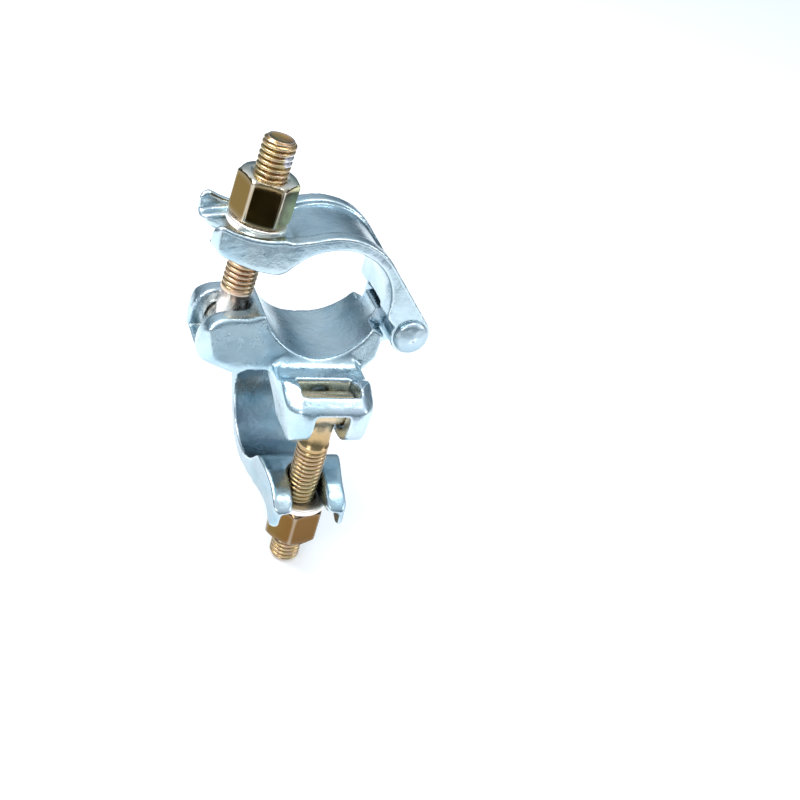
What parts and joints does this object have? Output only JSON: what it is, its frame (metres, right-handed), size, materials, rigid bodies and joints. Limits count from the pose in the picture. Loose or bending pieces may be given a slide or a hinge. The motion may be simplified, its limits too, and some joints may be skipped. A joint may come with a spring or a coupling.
{
  "type": "scaffold coupler clamp",
  "caption": "Forged right-angle clamp joining crossing round tubes, with hinged ribbed caps closed by swing T-bolts, high nuts and round washers.",
  "frame": {"origin": "on the lower tube's axis, under the point where the two tubes cross", "axes": "+X along the lower tube, +Y along the upper tube, +Z from the lower tube to the upper tube"},
  "size_m": [0.094, 0.094, 0.1747],
  "materials": {
    "forging": "bright zinc plated drop forging",
    "rivet": "bright zinc plated",
    "bolt": "yellow passivated zinc plated steel",
    "washer": "pale yellow passivated zinc plated steel"
  },
  "bodies": {
    "forging": {"body": "forging", "hinge_pin_upper": "rivet", "hinge_pin_lower": "rivet"},
    "upper_cap": {"cap_upper": "forging"},
    "upper_t_bolt": {"t_bolt_upper": "bolt"},
    "upper_washer": {"washer_upper": "washer"},
    "upper_nut": {"nut_upper": "bolt"},
    "lower_cap": {"cap_lower": "forging"},
    "lower_t_bolt": {"t_bolt_lower": "bolt"},
    "lower_washer": {"washer_lower": "washer"},
    "lower_nut": {"nut_lower": "bolt"}
  },
  "joints": [
    {"name": "cap_upper_hinge", "type": "hinge", "parent": "forging", "child": "upper_cap", "pos_m": [0.036, 0, 0.0455], "axis": [0, 1, 0], "range_deg": [0, 110]},
    {"name": "t_bolt_upper_swing", "type": "hinge", "parent": "forging", "child": "upper_t_bolt", "pos_m": [-0.034, 0, 0.036], "axis": [0, -1, 0], "range_deg": [0, 82]},
    {"name": "nut_upper_travel", "type": "slide", "parent": "upper_t_bolt", "child": "upper_washer", "axis": [0.0941, 0, 0.9956], "range_m": [0, 0.027]},
    {"name": "nut_upper_spin", "type": "hinge", "parent": "upper_washer", "child": "upper_nut", "pos_m": [-0.034, 0, 0.036], "axis": [0.0941, 0, 0.9956], "range_deg": [0, 4592]},
    {"name": "cap_lower_hinge", "type": "hinge", "parent": "forging", "child": "lower_cap", "pos_m": [0, 0.036, 0.012], "axis": [1, 0, 0], "range_deg": [0, 110]},
    {"name": "t_bolt_lower_swing", "type": "hinge", "parent": "forging", "child": "lower_t_bolt", "pos_m": [0, -0.034, 0.0215], "axis": [-1, 0, 0], "range_deg": [0, 78]},
    {"name": "nut_lower_travel", "type": "slide", "parent": "lower_t_bolt", "child": "lower_washer", "axis": [0, 0.0349, -0.9994], "range_m": [0, 0.027]},
    {"name": "nut_lower_spin", "type": "hinge", "parent": "lower_washer", "child": "lower_nut", "pos_m": [0, -0.034, 0.0215], "axis": [0, 0.0349, -0.9994], "range_deg": [0, 4592]}
  ],
  "couplings": [
    {"joint": "nut_upper_travel", "follows": "nut_upper_spin", "m_per_rad": 0.00033688},
    {"joint": "cap_upper_hinge", "follows": "nut_upper_spin", "ratio": 0.0043},
    {"joint": "nut_lower_travel", "follows": "nut_lower_spin", "m_per_rad": 0.00033688},
    {"joint": "cap_lower_hinge", "follows": "nut_lower_spin", "ratio": 0.0043}
  ]
}
